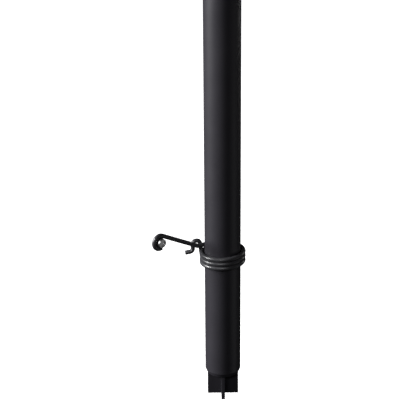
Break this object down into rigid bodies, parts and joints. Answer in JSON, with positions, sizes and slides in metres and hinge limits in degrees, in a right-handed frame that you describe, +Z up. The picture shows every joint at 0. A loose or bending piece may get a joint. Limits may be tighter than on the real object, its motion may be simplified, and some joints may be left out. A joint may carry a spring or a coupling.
{
  "type": "music stand",
  "caption": "Music stand: round black post ending in a cross-shaped tenon, a sprung wire clip with an eye and stud, a sliding inner tube and a tilting sheet-metal desk with page arms.",
  "frame": {"origin": "middle of the lower end of the cross tenon, on the post's axis", "axes": "+Z up along the post, -Y is the side the desk faces, +X is the reader's right"},
  "size_m": [0.48, 0.1677, 1.082],
  "materials": {
    "black_coat": "satin black powder coat",
    "black_wire": "satin black coated spring wire",
    "bright_steel": "bright turned steel",
    "zinc_steel": "zinc plated",
    "black_plastic": "moulded, matte",
    "nylon": "moulded nylon",
    "black_rubber": "ribbed rubber strip"
  },
  "bodies": {
    "post": {"post_tube": "black_coat", "tenon_cross": "black_coat", "post_collar": "black_plastic", "collar_bush": "nylon", "height_shoe": "nylon"},
    "clip": {"wire_clip": "black_wire"},
    "stud": {"eye_stud": "bright_steel"},
    "height_clamp": {"height_screw": "zinc_steel", "height_knob": "black_plastic"},
    "mast": {"inner_tube": "black_coat", "inner_guide": "nylon", "tilt_head": "black_plastic"},
    "desk": {"desk_bracket": "black_coat", "tilt_bolt": "zinc_steel", "tilt_washers": "nylon", "desk_panel": "black_coat", "desk_ledge": "black_coat", "ledge_pad": "black_rubber", "bracket_rivets": "zinc_steel", "ledge_rivets": "zinc_steel", "desk_hem": "black_plastic", "page_arm_pins": "zinc_steel"},
    "tilt_clamp": {"tilt_knob": "black_plastic"},
    "left_arm": {"left_page_arm": "black_coat"},
    "right_arm": {"right_page_arm": "black_coat"}
  },
  "joints": [
    {"name": "clip_slide", "type": "slide", "parent": "post", "child": "clip", "axis": [0, 0, 1], "range_m": [-0.08, 0.43]},
    {"name": "stud_spin", "type": "hinge", "parent": "clip", "child": "stud", "pos_m": [-0.04358, -0.01747, 0.12739], "axis": [0.6428, -0.766, 0], "continuous": true},
    {"name": "height_slide", "type": "slide", "parent": "post", "child": "mast", "axis": [0, 0, 1], "range_m": [-0.165, 0.26]},
    {"name": "height_knob_turn", "type": "hinge", "parent": "post", "child": "height_clamp", "pos_m": [0.039, 0, 0.5923], "axis": [1, 0, 0], "range_deg": [0, 360]},
    {"name": "desk_tilt", "type": "hinge", "parent": "mast", "child": "desk", "pos_m": [0, 0, 0.874], "axis": [1, 0, 0], "range_deg": [-70, 20]},
    {"name": "tilt_knob_turn", "type": "hinge", "parent": "desk", "child": "tilt_clamp", "pos_m": [0.0173, 0, 0.874], "axis": [1, 0, 0], "range_deg": [0, 360]},
    {"name": "left_arm_swing", "type": "hinge", "parent": "desk", "child": "left_arm", "pos_m": [-0.2, -0.04906, 0.81524], "axis": [0, 0.9397, -0.342], "range_deg": [-90, 90]},
    {"name": "right_arm_swing", "type": "hinge", "parent": "desk", "child": "right_arm", "pos_m": [0.2, -0.04906, 0.81524], "axis": [0, 0.9397, -0.342], "range_deg": [-90, 90]}
  ]
}
